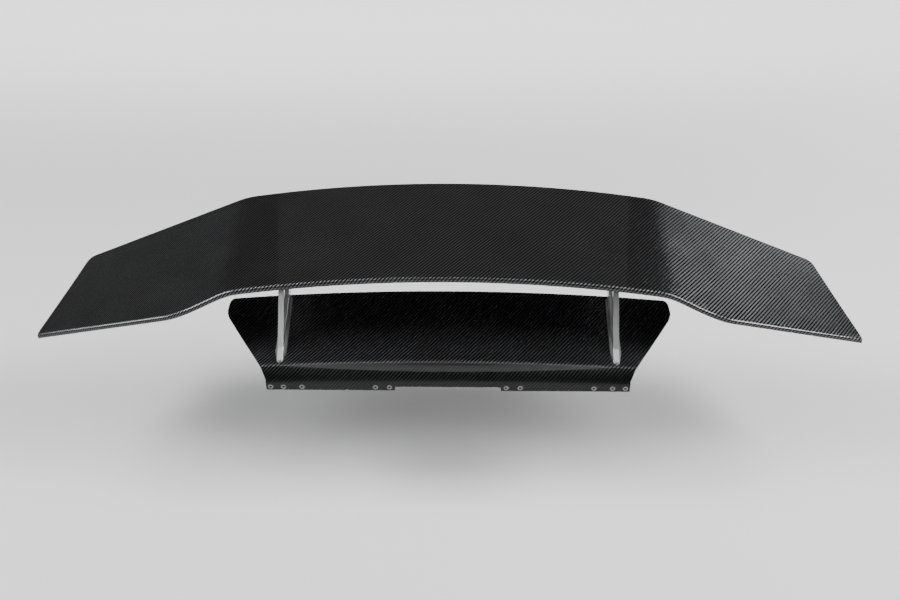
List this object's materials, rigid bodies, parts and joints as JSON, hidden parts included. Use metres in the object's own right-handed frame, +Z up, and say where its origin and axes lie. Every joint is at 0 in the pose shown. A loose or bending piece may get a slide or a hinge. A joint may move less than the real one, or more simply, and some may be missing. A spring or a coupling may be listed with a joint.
{
  "type": "racing rear wing",
  "caption": "Arched carbon-fibre rear wing with drooped pointed tips on two raked aluminium uprights and a ducktail base with a bolting flange.",
  "frame": {"origin": "middle of the row of threaded inserts, on the front face of the base flange", "axes": "+X along the span towards the right tip as seen from the front of the wing, +Y from leading edge to trailing edge (to the rear of the car), +Z up"},
  "size_m": [1.663, 0.3635, 0.2483],
  "materials": {
    "carbon_gloss": "clear-coated 2x2 twill carbon",
    "carbon_plain": "uncoated carbon laminate",
    "foam": "closed-cell foam",
    "aluminium_satin": "machined and bead-blasted satin",
    "gasket": "matt",
    "bronze": "turned",
    "steel": "zinc plated"
  },
  "bodies": {
    "base": {"base_deck": "carbon_gloss", "base_hat_rail": "carbon_plain", "flange_inserts": "steel", "upright_left": "aluminium_satin", "upright_right": "aluminium_satin", "foot_gasket_left": "gasket", "foot_gasket_right": "gasket", "backing_plate_left": "aluminium_satin", "backing_plate_right": "aluminium_satin", "pivot_bush_left": "bronze", "pivot_bush_right": "bronze", "foot_bolts": "steel", "foot_washers": "steel"},
    "blade": {"blade_upper_skin": "carbon_gloss", "blade_lower_skin": "carbon_gloss", "tip_rib_left": "carbon_gloss", "tip_rib_right": "carbon_gloss", "blade_spar": "carbon_plain", "blade_core_front": "foam", "blade_core_rear": "foam", "blade_bracket_left": "aluminium_satin", "blade_bracket_right": "aluminium_satin", "hardpoint_left": "aluminium_satin", "hardpoint_right": "aluminium_satin", "bracket_screws": "steel", "pivot_bolts": "steel", "pivot_nuts": "steel", "pivot_washers": "steel", "adjuster_bolts": "steel", "adjuster_nuts": "steel", "adjuster_washers": "steel"}
  },
  "joints": [
    {"name": "blade_pitch", "type": "hinge", "parent": "base", "child": "blade", "pos_m": [0, 0.157, 0.154], "axis": [1, 0, 0], "range_deg": [-4, 6]}
  ]
}
